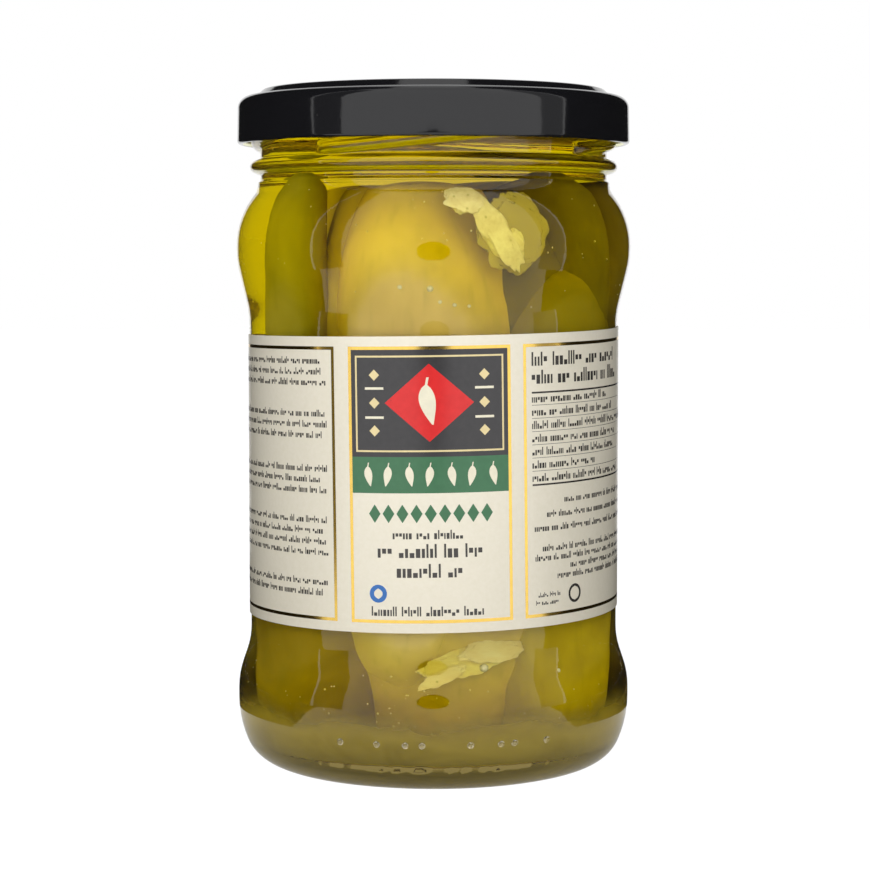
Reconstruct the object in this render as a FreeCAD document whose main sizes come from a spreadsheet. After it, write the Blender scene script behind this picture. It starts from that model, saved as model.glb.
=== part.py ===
"""Glass jar of stuffed peppers in oil, closed by a black twist-off lid and wrapped by a paper label.

Millimetres, +Z up. The origin is the centre of the circle on which the jar stands, and the label's front
faces -Y. Four pieces, each a revolved PartDesign body whose sizes come from the sheet Sizes: the hollow
glass with its screw threads, the oil that fills it, the lid pressed from thin metal, and the label.
"""

import FreeCAD, Part
import math
import os

import Sketcher

SIZES = {
    # glass, outside
    "bulge_radius": 34.7,      # the two rounded bands above and below the label
    "waist_radius": 32.5,      # the straight panel that carries the label
    "foot_inner_radius": 24.0,
    "punt_radius": 19.0,       # the raised middle of the underside
    "punt_height": 2.0,
    "heel_radius": 6.5,
    "belly_radius": 19.0,      # side arc between the heel and the lower band
    "low_band_start": 11.4,
    "low_band_end": 13.0,
    "low_arc": 14.0,
    "waist_start": 24.1,
    "waist_end": 77.4,
    "high_arc": 16.0,
    "high_band_start": 90.4,
    "high_band_end": 91.1,
    "shoulder_arc": 14.4,
    "shoulder_radius": 30.95,
    "shoulder_height": 101.9,
    "neck_radius": 30.5,
    "neck_step": 0.35,
    "bead_radius": 32.4,
    "bead_height": 104.85,
    "bead_half": 1.1,
    "rim_height": 116.0,
    "rim_round": 1.1,
    # glass, inside
    "wall": 2.4,
    "floor_height": 4.8,
    "inner_heel": 6.2,
    "mouth_radius": 27.6,
    "mouth_start": 105.0,
    # screw threads on the neck
    "thread_count": 4.0,
    "thread_ring": 31.2,
    "thread_half": 1.0,
    "thread_height": 109.1,    # at the middle of its length
    "thread_length": 80.0,     # degrees round the neck
    "thread_start": 52.0,      # degrees from +X to the low end of the first thread
    "thread_slope": 5.2,
    # oil
    "oil_level": 113.6,
    # lid
    "lid_radius": 34.35,
    "lid_base": 108.75,
    "lid_top": 118.3,
    "lid_metal": 0.35,
    "skirt_flare": 0.1,
    "curl_half": 0.65,         # radius of the rolled edge
    "hem_height": 1.6,         # from the rolled edge's underside to where the hem starts to thin
    "hem_end": 2.3,            # from the same underside to where the skirt is one sheet thick
    "shoulder_round": 2.1,
    "ledge_height": 117.1,
    "ledge_radius": 31.3,
    "disc_radius": 30.3,
    "button_radius": 11.0,
    "button_rise": 0.35,
    "lug_reach": 2.2,
    "lug_width": 7.6,
    "lug_thickness": 0.7,
    "lug_angle": 47.0,         # degrees from +X to the middle of the first lug, under a thread's high end
    # label
    "label_base": 26.6,
    "label_height": 50.2,
    "label_paper": 0.25,       # paper and glue
    "label_wrap": 347.0,       # degrees; the open strip is at the back
}


def make_sheet(doc):
    """The sheet of driving sizes: a name in column A and a plain number, with that alias, in column B."""
    sheet = doc.addObject("Spreadsheet::Sheet", "Sizes")
    for row, (alias, value) in enumerate(SIZES.items(), start=1):
        sheet.set(f"A{row}", alias)
        sheet.set(f"B{row}", str(value))
        sheet.setAlias(f"B{row}", alias)
    doc.recompute()
    return sheet


def origin_feature(body, role):
    """The body's own origin plane or axis with that role, such as XZ_Plane."""
    return next(f for f in body.Origin.OriginFeatures if f.Role == role)


class Outline:
    """A closed half-section in a body's XZ plane. x is the radius and y the height, in millimetres.

    Pieces are drawn in order, each from the last one's end. A smooth joint is tangent, any other only meets.
    """

    def __init__(self, body, name):
        self.sketch = body.newObject("Sketcher::SketchObject", name)
        self.sketch.AttachmentSupport = [(origin_feature(body, "XZ_Plane"), "")]
        self.sketch.MapMode = "FlatFace"
        self.pieces = []       # (geometry index, vertex it starts at, vertex it ends at)
        self.at = None

    def start(self, radius, height):
        self.at = (radius, height)

    def line(self, radius, height, smooth=False):
        end = FreeCAD.Vector(radius, height, 0)
        index = self.sketch.addGeometry(Part.LineSegment(FreeCAD.Vector(*self.at, 0), end))
        return self._add(index, 1, 2, smooth, (radius, height))

    def arc(self, centre, radius, height, clockwise=False, smooth=True):
        """A circular arc about centre, from the last point to the point at that radius and height."""
        middle = FreeCAD.Vector(*centre, 0)
        begin = FreeCAD.Vector(*self.at, 0) - middle
        end = FreeCAD.Vector(radius, height, 0) - middle
        angles = [math.atan2(v.y, v.x) for v in (begin, end)]
        if clockwise:
            angles.reverse()
        circle = Part.Circle(middle, FreeCAD.Vector(0, 0, 1), begin.Length)
        index = self.sketch.addGeometry(Part.ArcOfCircle(circle, *angles))
        ends = (2, 1) if clockwise else (1, 2)
        return self._add(index, *ends, smooth, (radius, height))

    def _add(self, index, first, last, smooth, end):
        if self.pieces:
            before = self.pieces[-1]
            kind = "Tangent" if smooth else "Coincident"
            self.sketch.addConstraint(Sketcher.Constraint(kind, before[0], before[2], index, first))
        self.pieces.append((index, first, last))
        self.at = end
        return index

    def close(self):
        """Joins the last piece's end to the first piece's start."""
        first, last = self.pieces[0], self.pieces[-1]
        self.sketch.addConstraint(Sketcher.Constraint("Coincident", last[0], last[2], first[0], first[1]))

    def _bind(self, constraint, expression):
        index = self.sketch.addConstraint(constraint)
        self.sketch.setExpression(f"Constraints[{index}]", expression)

    def _end(self, index):
        piece = next(p for p in self.pieces if p[0] == index)
        point = self.sketch.getPoint(index, piece[2])
        return piece[2], point

    def end_radius(self, index, expression):
        """The radius at which that piece ends follows the expression."""
        vertex, point = self._end(index)
        self._bind(Sketcher.Constraint("DistanceX", -1, 1, index, vertex, point.x), expression)

    def end_height(self, index, expression):
        """The height at which that piece ends follows the expression."""
        vertex, point = self._end(index)
        self._bind(Sketcher.Constraint("DistanceY", -1, 1, index, vertex, point.y), expression)

    def end_at(self, index, radius, height):
        self.end_radius(index, radius)
        self.end_height(index, height)

    def end_on_axis(self, index):
        vertex, _ = self._end(index)
        self.sketch.addConstraint(Sketcher.Constraint("PointOnObject", index, vertex, -2))

    def end_on_base(self, index):
        vertex, _ = self._end(index)
        self.sketch.addConstraint(Sketcher.Constraint("PointOnObject", index, vertex, -1))

    def bend(self, index, expression):
        """That arc's radius follows the expression."""
        value = self.sketch.Geometry[index].Radius
        self._bind(Sketcher.Constraint("Radius", index, value), expression)

    def centre_height(self, index, expression):
        """The height of that arc's centre follows the expression."""
        value = self.sketch.getPoint(index, 3).y
        self._bind(Sketcher.Constraint("DistanceY", -1, 1, index, 3, value), expression)

    def level(self, *indices):
        for index in indices:
            self.sketch.addConstraint(Sketcher.Constraint("Horizontal", index))

    def upright(self, *indices):
        for index in indices:
            self.sketch.addConstraint(Sketcher.Constraint("Vertical", index))


def revolve(body, outline, name, angle=360.0, kind="PartDesign::Revolution"):
    """Turns the outline about the body's vertical axis, adding or, as a Groove, cutting."""
    feature = body.newObject(kind, name)
    feature.Profile = outline.sketch
    feature.ReferenceAxis = (outline.sketch, ["V_Axis"])
    feature.Angle = angle
    body.Tip = feature
    return feature


def flank_angle(band, waist, rise, arc_out, arc_in):
    """The lean, from upright, of the straight flank that touches a band's arc and a waist's arc."""
    across = arc_out + arc_in - (band - waist)
    reach = math.hypot(across, rise)
    return math.atan2(rise, across) - math.acos((arc_out + arc_in) / reach)


def flank(outline, from_band, band, band_height, waist, waist_height, arc_out, arc_in):
    """The S-shaped step between a band and the waist: an arc, a straight flank and an arc.

    It runs from the band to the waist, or back, and returns the three pieces in the order drawn.
    """
    rise = abs(waist_height - band_height)
    lean = flank_angle(band, waist, rise, arc_out, arc_in)
    way = 1 if waist_height > band_height else -1
    out_centre = (band - arc_out, band_height)
    in_centre = (waist + arc_in, waist_height)
    out_end = (out_centre[0] + arc_out * math.cos(lean), out_centre[1] + way * arc_out * math.sin(lean))
    in_end = (in_centre[0] - arc_in * math.cos(lean), in_centre[1] - way * arc_in * math.sin(lean))
    if from_band:
        first = outline.arc(out_centre, *out_end)
        middle = outline.line(*in_end, smooth=True)
        last = outline.arc(in_centre, waist, waist_height, clockwise=True)
    else:
        first = outline.arc(in_centre, *in_end, clockwise=True)
        middle = outline.line(*out_end, smooth=True)
        last = outline.arc(out_centre, band, band_height)
    return first, middle, last


def wave_side(outline, size, heel_name, base, inset_name=""):
    """The jar's side from its heel to the top of its shoulder, moved in by the size inset_name.

    The outline has just drawn the level line at the height base, which ends where the heel's arc begins.
    """
    inset = size[inset_name] if inset_name else 0
    minus = f" - Sizes.{inset_name}" if inset_name else ""
    plus = f" + Sizes.{inset_name}" if inset_name else ""
    band = size["bulge_radius"] - inset
    waist = size["waist_radius"] - inset
    belly = size["belly_radius"] - inset
    belly_centre = (band - belly, size["low_band_start"])
    heel_centre = heel_place(size, inset, size[heel_name], base)
    tilt = math.atan2(belly_centre[1] - heel_centre[1], heel_centre[0] - belly_centre[0])
    heel_end = (belly_centre[0] + belly * math.cos(tilt), belly_centre[1] - belly * math.sin(tilt))

    heel_arc = outline.arc(heel_centre, *heel_end)
    outline.bend(heel_arc, f"Sizes.{heel_name}")
    belly_arc = outline.arc(belly_centre, band, size["low_band_start"])
    outline.bend(belly_arc, f"Sizes.belly_radius{minus}")
    outline.end_at(belly_arc, f"Sizes.bulge_radius{minus}", "Sizes.low_band_start")
    low_band = outline.line(band, size["low_band_end"], smooth=True)
    outline.end_height(low_band, "Sizes.low_band_end")
    outline.upright(low_band)

    arc_out, arc_in = size["low_arc"] - inset, size["low_arc"] + inset
    pieces = flank(outline, True, band, size["low_band_end"], waist, size["waist_start"], arc_out, arc_in)
    outline.bend(pieces[0], f"Sizes.low_arc{minus}")
    outline.bend(pieces[2], f"Sizes.low_arc{plus}")
    outline.end_at(pieces[2], f"Sizes.waist_radius{minus}", "Sizes.waist_start")
    panel = outline.line(waist, size["waist_end"], smooth=True)
    outline.end_height(panel, "Sizes.waist_end")
    outline.upright(panel)

    arc_out, arc_in = size["high_arc"] - inset, size["high_arc"] + inset
    pieces = flank(outline, False, band, size["high_band_start"], waist, size["waist_end"], arc_out, arc_in)
    outline.bend(pieces[0], f"Sizes.high_arc{plus}")
    outline.bend(pieces[2], f"Sizes.high_arc{minus}")
    outline.end_at(pieces[2], f"Sizes.bulge_radius{minus}", "Sizes.high_band_start")
    high_band = outline.line(band, size["high_band_end"], smooth=True)
    outline.end_height(high_band, "Sizes.high_band_end")
    outline.upright(high_band)

    # The neck's arc touches the shoulder's arc and ends upright at the top of the shoulder.
    round_out = size["shoulder_arc"] - inset
    out_centre = (band - round_out, size["high_band_end"])
    top = (size["shoulder_radius"] - inset, size["shoulder_height"])
    near = top[0] - band + round_out
    climb = top[1] - out_centre[1]
    round_in = (round_out**2 - near**2 - climb**2) / (2 * (near - round_out))
    in_centre = (top[0] + round_in, top[1])
    share = round_out / (round_out + round_in)
    meet = tuple(a + share * (b - a) for a, b in zip(out_centre, in_centre))
    shoulder = outline.arc(out_centre, *meet)
    outline.bend(shoulder, f"Sizes.shoulder_arc{minus}")
    neck_arc = outline.arc(in_centre, *top, clockwise=True)
    outline.end_at(neck_arc, f"Sizes.shoulder_radius{minus}", "Sizes.shoulder_height")
    outline.centre_height(neck_arc, "Sizes.shoulder_height")


def heel_place(size, inset, heel, base):
    """The centre of the heel's arc, which touches the base line and the belly's arc from inside."""
    belly = size["belly_radius"] - inset
    drop = size["low_band_start"] - (base + heel)
    across = math.sqrt((belly - heel) ** 2 - drop**2)
    return size["bulge_radius"] - inset - belly + across, base + heel


def jar_outside(body, size):
    """The solid shape of the glass before it is hollowed."""
    out = Outline(body, "JarOutside")
    out.start(0, size["punt_height"])
    punt = out.line(size["punt_radius"], size["punt_height"])
    out.level(punt)
    out.end_at(punt, "Sizes.punt_radius", "Sizes.punt_height")
    slope = out.line(size["foot_inner_radius"], 0)
    out.end_radius(slope, "Sizes.foot_inner_radius")
    out.end_on_base(slope)
    foot = out.line(heel_place(size, 0, size["heel_radius"], 0)[0], 0)
    out.level(foot)
    wave_side(out, size, "heel_radius", 0)

    neck, bead = size["neck_radius"], size["bead_height"]
    half, rim, top = size["bead_half"], size["rim_round"], size["rim_height"]
    step = out.line(neck, size["shoulder_height"] + size["neck_step"])
    out.end_at(step, "Sizes.neck_radius", "Sizes.shoulder_height + Sizes.neck_step")
    low_neck = out.line(neck, bead - half)
    out.upright(low_neck)
    under_bead = out.line(size["bead_radius"] - half, bead - half)
    out.end_at(under_bead, "Sizes.bead_radius - Sizes.bead_half", "Sizes.bead_height - Sizes.bead_half")
    out.level(under_bead)
    bead_arc = out.arc((size["bead_radius"] - half, bead), size["bead_radius"] - half, bead + half)
    out.bend(bead_arc, "Sizes.bead_half")
    over_bead = out.line(neck, bead + half, smooth=True)
    out.level(over_bead)
    out.end_radius(over_bead, "Sizes.neck_radius")
    high_neck = out.line(neck, top - rim)
    out.end_height(high_neck, "Sizes.rim_height - Sizes.rim_round")
    out.upright(high_neck)
    rim_arc = out.arc((neck - rim, top - rim), neck - rim, top)
    out.bend(rim_arc, "Sizes.rim_round")
    lip = out.line(0, top, smooth=True)
    out.level(lip)
    out.end_on_axis(lip)
    axis = out.line(0, size["punt_height"])
    out.end_on_axis(axis)
    out.close()
    return out


def inside_outline(body, size, name, top_name):
    """The inside of the glass from its floor up to the height in the cell top_name."""
    out = Outline(body, name)
    floor, wall, top = size["floor_height"], size["wall"], size[top_name]
    out.start(0, floor)
    bottom = out.line(heel_place(size, wall, size["inner_heel"], floor)[0], floor)
    out.level(bottom)
    out.end_height(bottom, "Sizes.floor_height")
    wave_side(out, size, "inner_heel", floor, "wall")
    cone = out.line(size["mouth_radius"], size["mouth_start"])
    out.end_at(cone, "Sizes.mouth_radius", "Sizes.mouth_start")
    mouth = out.line(size["mouth_radius"], top)
    out.end_height(mouth, f"Sizes.{top_name}")
    out.upright(mouth)
    surface = out.line(0, top)
    out.level(surface)
    out.end_on_axis(surface)
    axis = out.line(0, floor)
    out.end_on_axis(axis)
    out.close()
    return out


def add_threads(body, size):
    """Low slanting ridges round the neck, which the lid's lugs run along."""
    thread = body.newObject("PartDesign::AdditiveTorus", "Thread")
    thread.setExpression("Radius1", "Sizes.thread_ring")
    thread.setExpression("Radius2", "Sizes.thread_half")
    thread.setExpression("Angle3", "Sizes.thread_length")
    middle = math.radians(size["thread_start"] + size["thread_length"] / 2)
    across = FreeCAD.Vector(math.cos(middle), math.sin(middle), 0)
    turned = FreeCAD.Rotation(FreeCAD.Vector(0, 0, 1), size["thread_start"])
    tilted = FreeCAD.Rotation(across, size["thread_slope"])
    place = FreeCAD.Vector(0, 0, size["thread_height"])
    thread.Placement = FreeCAD.Placement(place, tilted.multiply(turned))
    body.Tip = thread
    return ring_of(body, thread, "Threads", "Sizes.thread_count")


def ring_of(body, feature, name, count_expression):
    """Repeats a feature evenly round the body's vertical axis."""
    ring = body.newObject("PartDesign::PolarPattern", name)
    ring.Originals = [feature]
    ring.Axis = (origin_feature(body, "Z_Axis"), [""])
    ring.Angle = 360
    ring.setExpression("Occurrences", count_expression)
    body.Tip = ring
    return ring


def make_jar(doc, size):
    body = doc.addObject("PartDesign::Body", "jar")
    revolve(body, jar_outside(body, size), "Glass")
    doc.recompute()
    add_threads(body, size)
    doc.recompute()
    revolve(body, inside_outline(body, size, "JarInside", "rim_height"), "Hollow", kind="PartDesign::Groove")
    return body


def make_oil(doc, size):
    body = doc.addObject("PartDesign::Body", "oil")
    revolve(body, inside_outline(body, size, "OilOutline", "oil_level"), "Fill")
    return body


def make_lid(doc, size):
    """A thin pressed shell: raised disc, ledge, rounded shoulder, skirt, and lugs above its open edge."""
    body = doc.addObject("PartDesign::Body", "lid")
    out = Outline(body, "LidOutline")
    metal, top, ledge = size["lid_metal"], size["lid_top"], size["ledge_height"]
    button, rise = size["button_radius"], size["button_rise"]
    skirt, turn = size["lid_radius"], size["shoulder_round"]
    disc, rest, base = size["disc_radius"], size["ledge_radius"], size["lid_base"]
    curl, hem_height, hem_end = size["curl_half"], size["hem_height"], size["hem_end"]
    low_skirt = skirt + size["skirt_flare"]

    out.start(0, top - rise)
    middle = out.line(button, top - rise)
    out.level(middle)
    out.end_at(middle, "Sizes.button_radius", "Sizes.lid_top - Sizes.button_rise")
    lip = out.line(button + rise, top)
    out.end_at(lip, "Sizes.button_radius + Sizes.button_rise", "Sizes.lid_top")
    panel = out.line(disc, top)
    out.end_radius(panel, "Sizes.disc_radius")
    out.level(panel)
    fall = out.line(rest, ledge)
    out.end_at(fall, "Sizes.ledge_radius", "Sizes.ledge_height")
    flat = out.line(skirt - turn, ledge)
    out.level(flat)
    corner = out.arc((skirt - turn, ledge - turn), skirt, ledge - turn, clockwise=True)
    out.bend(corner, "Sizes.shoulder_round")
    out.end_at(corner, "Sizes.lid_radius", "Sizes.ledge_height - Sizes.shoulder_round")
    side = out.line(low_skirt, base + curl)
    out.end_at(side, "Sizes.lid_radius + Sizes.skirt_flare", "Sizes.lid_base + Sizes.curl_half")
    hem = out.arc((low_skirt - curl, base + curl), low_skirt - 2 * curl, base + curl, clockwise=True,
                  smooth=False)
    out.bend(hem, "Sizes.curl_half")
    out.centre_height(hem, "Sizes.lid_base + Sizes.curl_half")
    out.end_height(hem, "Sizes.lid_base + Sizes.curl_half")
    hem_top = out.line(low_skirt - 2 * curl, base + hem_height)
    out.upright(hem_top)
    out.end_height(hem_top, "Sizes.lid_base + Sizes.hem_height")
    fold = out.line(skirt - metal, base + hem_end)
    out.end_at(fold, "Sizes.lid_radius - Sizes.lid_metal", "Sizes.lid_base + Sizes.hem_end")
    inner_side = out.line(skirt - metal, ledge - turn)
    out.upright(inner_side)
    inner_corner = out.arc((skirt - turn, ledge - turn), skirt - turn, ledge - metal)
    out.bend(inner_corner, "Sizes.shoulder_round - Sizes.lid_metal")
    out.end_height(inner_corner, "Sizes.ledge_height - Sizes.lid_metal")
    inner_flat = out.line(rest - metal / 2, ledge - metal, smooth=True)
    out.level(inner_flat)
    out.end_radius(inner_flat, "Sizes.ledge_radius - Sizes.lid_metal / 2")
    inner_fall = out.line(disc - metal / 2, top - metal)
    out.end_at(inner_fall, "Sizes.disc_radius - Sizes.lid_metal / 2", "Sizes.lid_top - Sizes.lid_metal")
    inner_panel = out.line(button + rise, top - metal)
    out.end_radius(inner_panel, "Sizes.button_radius + Sizes.button_rise")
    out.level(inner_panel)
    inner_lip = out.line(button, top - rise - metal)
    out.end_at(inner_lip, "Sizes.button_radius", "Sizes.lid_top - Sizes.button_rise - Sizes.lid_metal")
    under = out.line(0, top - rise - metal)
    out.level(under)
    out.end_on_axis(under)
    axis = out.line(0, top - rise)
    out.end_on_axis(axis)
    out.close()
    revolve(body, out, "Shell")
    doc.recompute()

    lug = body.newObject("PartDesign::AdditiveBox", "Lug")
    lug.setExpression("Length", "Sizes.lug_reach")
    lug.setExpression("Width", "Sizes.lug_width")
    lug.setExpression("Height", "Sizes.lug_thickness")
    turned = FreeCAD.Rotation(FreeCAD.Vector(0, 0, 1), size["lug_angle"])
    rooted = low_skirt - curl          # the lug's outer end lies inside the rolled edge
    place = FreeCAD.Vector(rooted - size["lug_reach"], -size["lug_width"] / 2, base + curl / 2)
    lug.Placement = FreeCAD.Placement(turned.multVec(place), turned)
    body.Tip = lug
    ring_of(body, lug, "Lugs", "Sizes.thread_count")
    return body


def make_label(doc, size):
    body = doc.addObject("PartDesign::Body", "label")
    out = Outline(body, "LabelOutline")
    inner, outer = size["waist_radius"], size["waist_radius"] + size["label_paper"]
    low, high = size["label_base"], size["label_base"] + size["label_height"]
    out.start(inner, low)
    bottom = out.line(outer, low)
    out.end_at(bottom, "Sizes.waist_radius + Sizes.label_paper", "Sizes.label_base")
    face = out.line(outer, high)
    out.end_height(face, "Sizes.label_base + Sizes.label_height")
    top = out.line(inner, high)
    out.end_radius(top, "Sizes.waist_radius")
    back = out.line(inner, low)
    out.level(bottom, top)
    out.upright(face, back)
    out.close()
    paper = revolve(body, out, "Paper")
    paper.setExpression("Angle", "Sizes.label_wrap")
    body.Placement = FreeCAD.Placement(
        FreeCAD.Vector(0, 0, 0),
        FreeCAD.Rotation(FreeCAD.Vector(0, 0, 1), -90 - size["label_wrap"] / 2),
    )
    return body


def check(doc, bodies):
    """Stops on a failed object, or on a piece that isn't one valid closed solid."""
    for item in doc.Objects:
        if "Invalid" in item.State or "Error" in item.State:
            raise RuntimeError(f"{item.Name} failed to build: {item.State}")
        if item.TypeId == "Sketcher::SketchObject" and not item.FullyConstrained:
            raise RuntimeError(f"{item.Name} isn't fully constrained")
    for body in bodies:
        shape = body.Shape
        if shape.isNull() or not shape.isValid() or len(shape.Solids) != 1:
            raise RuntimeError(f"{body.Label} isn't one valid solid")


def main():
    doc = FreeCAD.newDocument("StuffedPepperJar")
    sheet = make_sheet(doc)
    size = {alias: float(sheet.get(alias)) for alias in SIZES}
    bodies = [make(doc, size) for make in (make_jar, make_oil, make_lid, make_label)]
    doc.recompute()
    check(doc, bodies)
    os.makedirs("parts", exist_ok=True)
    for body in bodies:
        body.Shape.exportStep(f"parts/{body.Label}.step")
        box = body.Shape.BoundBox
        print(f"{body.Label}: {body.Shape.Volume / 1000:.2f} cm3, height {box.ZMin:.2f} to {box.ZMax:.2f}")


main()
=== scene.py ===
"""Looks of the jar of stuffed peppers: glass, oil, lid, label and what is sunk in the oil.

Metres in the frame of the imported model. Sizes below are in millimetres, and MM turns them into metres.
Angles round the jar are in degrees from its front, positive towards +X.
"""

import math
import random

import bmesh
import bpy
import numpy as np
from mathutils import Euler, Matrix, Vector, noise


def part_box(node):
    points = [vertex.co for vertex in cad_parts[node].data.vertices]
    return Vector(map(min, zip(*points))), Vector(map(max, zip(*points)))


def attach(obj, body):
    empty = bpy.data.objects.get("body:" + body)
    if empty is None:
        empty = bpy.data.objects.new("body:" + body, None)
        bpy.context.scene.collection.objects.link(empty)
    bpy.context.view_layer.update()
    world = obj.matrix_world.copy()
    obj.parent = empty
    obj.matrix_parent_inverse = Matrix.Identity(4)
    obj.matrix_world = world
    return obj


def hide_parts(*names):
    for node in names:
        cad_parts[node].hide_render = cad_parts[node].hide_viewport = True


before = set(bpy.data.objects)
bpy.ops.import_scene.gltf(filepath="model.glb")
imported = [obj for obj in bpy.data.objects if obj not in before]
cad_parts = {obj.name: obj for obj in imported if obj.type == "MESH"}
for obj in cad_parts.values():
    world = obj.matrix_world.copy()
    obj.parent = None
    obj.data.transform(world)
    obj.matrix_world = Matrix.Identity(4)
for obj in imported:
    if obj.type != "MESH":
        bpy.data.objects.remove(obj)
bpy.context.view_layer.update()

MM = 0.001
FRONT = -90.0              # the front's angle from +X
TURN = 288                 # faces round the glass, the oil and the lid

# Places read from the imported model, in millimetres.
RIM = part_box("jar")[1][2] / MM
OIL_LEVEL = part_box("oil")[1][2] / MM
FLOOR_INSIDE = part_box("oil")[0][2] / MM
LID_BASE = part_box("lid")[0][2] / MM
LID_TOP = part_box("lid")[1][2] / MM
LABEL_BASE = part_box("label")[0][2] / MM
LABEL_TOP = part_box("label")[1][2] / MM
LABEL_RADIUS = -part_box("label")[0][1] / MM

# The glass. SIDE has the corners of its half-section from the heel to the neck: radius, height, rounding.
BULGE, WAIST, NECK = 34.7, 32.5, 30.5
NECK_FOOT, NECK_BASE, LIP = 30.95, 102.5, 29.0
WALL, MOUTH, MOUTH_BASE, HEEL_INSIDE = 2.4, 27.6, 106.0, 6.3
BEAD_HEIGHT, BEAD_REACH, BEAD_HALF = 104.85, 1.85, 1.25
SIDE = [
    (31.5, 0.0, 6.5),
    (BULGE, 7.52, 19.0),
    (BULGE, 15.32, 14.0),
    (WAIST, 21.78, 14.0),
    (WAIST, 79.28, 16.0),
    (BULGE, 88.52, 16.0),
    (BULGE, 96.10, 14.4),
    (NECK_FOOT, 100.85, 3.0),
]
THREADS, THREAD_START, THREAD_LENGTH = 4, -38.0, 80.0      # the angles are in degrees
THREAD_PITCH = 360.0 / THREADS
THREAD_LOW, THREAD_CLIMB, THREAD_HALF, THREAD_REACH = 107.25, 3.6, 1.05, 1.65


# ---------------- shapes

def rounded(corners, step=5.0):
    """The points of a path through (radius, height, rounding) corners, with an arc at each rounded one."""
    path = [np.array(corners[0][:2], float)]
    for before, corner, after in zip(corners, corners[1:], corners[2:]):
        here = np.array(corner[:2], float)
        back = np.array(before[:2], float) - here
        ahead = np.array(after[:2], float) - here
        back, ahead = back / np.linalg.norm(back), ahead / np.linalg.norm(ahead)
        turn = math.pi - math.acos(np.clip(back @ ahead, -1.0, 1.0))
        if corner[2] == 0 or turn < 1e-4:
            path.append(here)
            continue
        middle = (back + ahead) / np.linalg.norm(back + ahead)
        centre = here + middle * corner[2] / math.cos(turn / 2)
        first = here + back * corner[2] * math.tan(turn / 2) - centre
        side = np.sign(back[0] * ahead[1] - back[1] * ahead[0])
        count = max(2, math.ceil(math.degrees(turn) / step))
        for k in range(count + 1):
            angle = -side * turn * k / count
            spin = np.array([[math.cos(angle), -math.sin(angle)], [math.sin(angle), math.cos(angle)]])
            path.append(centre + spin @ first)
    path.append(np.array(corners[-1][:2], float))
    return np.array(path)


def finer(path, longest, low=-math.inf, high=math.inf):
    """The path with every run between the two heights cut into pieces no longer than that."""
    points = [path[0]]
    for a, b in zip(path, path[1:]):
        inside = low <= min(a[1], b[1]) and max(a[1], b[1]) <= high
        pieces = max(1, math.ceil(np.linalg.norm(b - a) / longest)) if inside else 1
        points += [a + (b - a) * k / pieces for k in range(1, pieces + 1)]
    return np.array(points)


def spot(angle, out, height):
    """The place at that angle from the front, that far from the axis, at that height."""
    way = math.radians(angle + FRONT)
    return np.array([out * math.cos(way), out * math.sin(way), height])


def link(name, mesh, material, smooth=True):
    """Puts a mesh in the scene as an object of that name."""
    mesh.materials.append(material)
    mesh.polygons.foreach_set("use_smooth", [smooth] * len(mesh.polygons))
    obj = bpy.data.objects.new(name, mesh)
    bpy.context.scene.collection.objects.link(obj)
    return obj


def from_bmesh(name, work, material):
    """The object that a bmesh makes."""
    mesh = bpy.data.meshes.new(name)
    work.to_mesh(mesh)
    work.free()
    return link(name, mesh, material)


def from_points(name, points, faces, material, closed=True):
    """The object that points, in millimetres, and the faces between them make.

    A closed one gets its faces turned outward and looks smooth.
    """
    mesh = bpy.data.meshes.new(name)
    mesh.from_pydata([tuple(p) for p in np.array(points) * MM], [], faces)
    if closed:
        work = bmesh.new()
        work.from_mesh(mesh)
        bmesh.ops.recalc_face_normals(work, faces=work.faces)
        work.to_mesh(mesh)
        work.free()
    return link(name, mesh, material, smooth=closed)


def tube_faces(rows, turn):
    """The faces between rings of points, closed at each end by a point that comes after all the rings."""
    first, last, end = rows * turn, rows * turn + 1, (rows - 1) * turn
    faces = []
    for k in range(turn):
        n = (k + 1) % turn
        faces += [(first, n, k), (last, end + k, end + n)]
        faces += [(i + k, i + n, i + turn + n, i + turn + k) for i in range(0, end, turn)]
    return faces


def lathe(name, path, material, shape=None, turn=TURN):
    """A closed surface turned round the axis from a path that starts and ends on it.

    shape moves the points: it gets and returns their radii and heights, with the angles from the front.
    """
    ring = path[1:-1]
    angles = np.linspace(0, 360, turn, endpoint=False)
    radius = np.repeat(ring[:, :1], turn, axis=1)
    height = np.repeat(ring[:, 1:], turn, axis=1)
    if shape:
        radius, height = shape(radius, height, angles[None, :])
    way = np.radians(angles + FRONT)
    points = np.stack([radius * np.cos(way), radius * np.sin(way), height], axis=-1).reshape(-1, 3)
    poles = [(0, 0, path[0][1]), (0, 0, path[-1][1])]
    return from_points(name, np.vstack([points, poles]), tube_faces(len(ring), turn), material)


# ---------------- materials

def adder(tree):
    """A function that adds shader nodes to a tree.

    add(kind, {socket: value}, attribute=value) gives the node. A value that is a socket is linked.
    """
    def add(kind, sockets=None, **attributes):
        node = tree.nodes.new("ShaderNode" + kind)
        for key, value in attributes.items():
            setattr(node, key, value)
        for key, value in (sockets or {}).items():
            if isinstance(value, bpy.types.NodeSocket):
                tree.links.new(value, node.inputs[key])
            else:
                node.inputs[key].default_value = value
        return node

    return add


def new_material(name):
    """An empty node material, its output and the function that adds nodes to it."""
    material = bpy.data.materials.new(name)
    material.use_nodes = True
    material.node_tree.nodes.clear()
    add = adder(material.node_tree)
    return material, add("OutputMaterial"), add


def surface(output, shader):
    """Makes a shader the surface of a material or of the world."""
    output.id_data.links.new(shader.outputs[0], output.inputs["Surface"])


def maths(add, operation, *values):
    """The result of a maths node on those values."""
    return add("Math", dict(enumerate(values)), operation=operation).outputs[0]


def scaled(add, value, low, high):
    """From low to high as the value goes from 0 to 1."""
    return add("MapRange", {"Value": value, "To Min": low, "To Max": high}).outputs["Result"]


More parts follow.
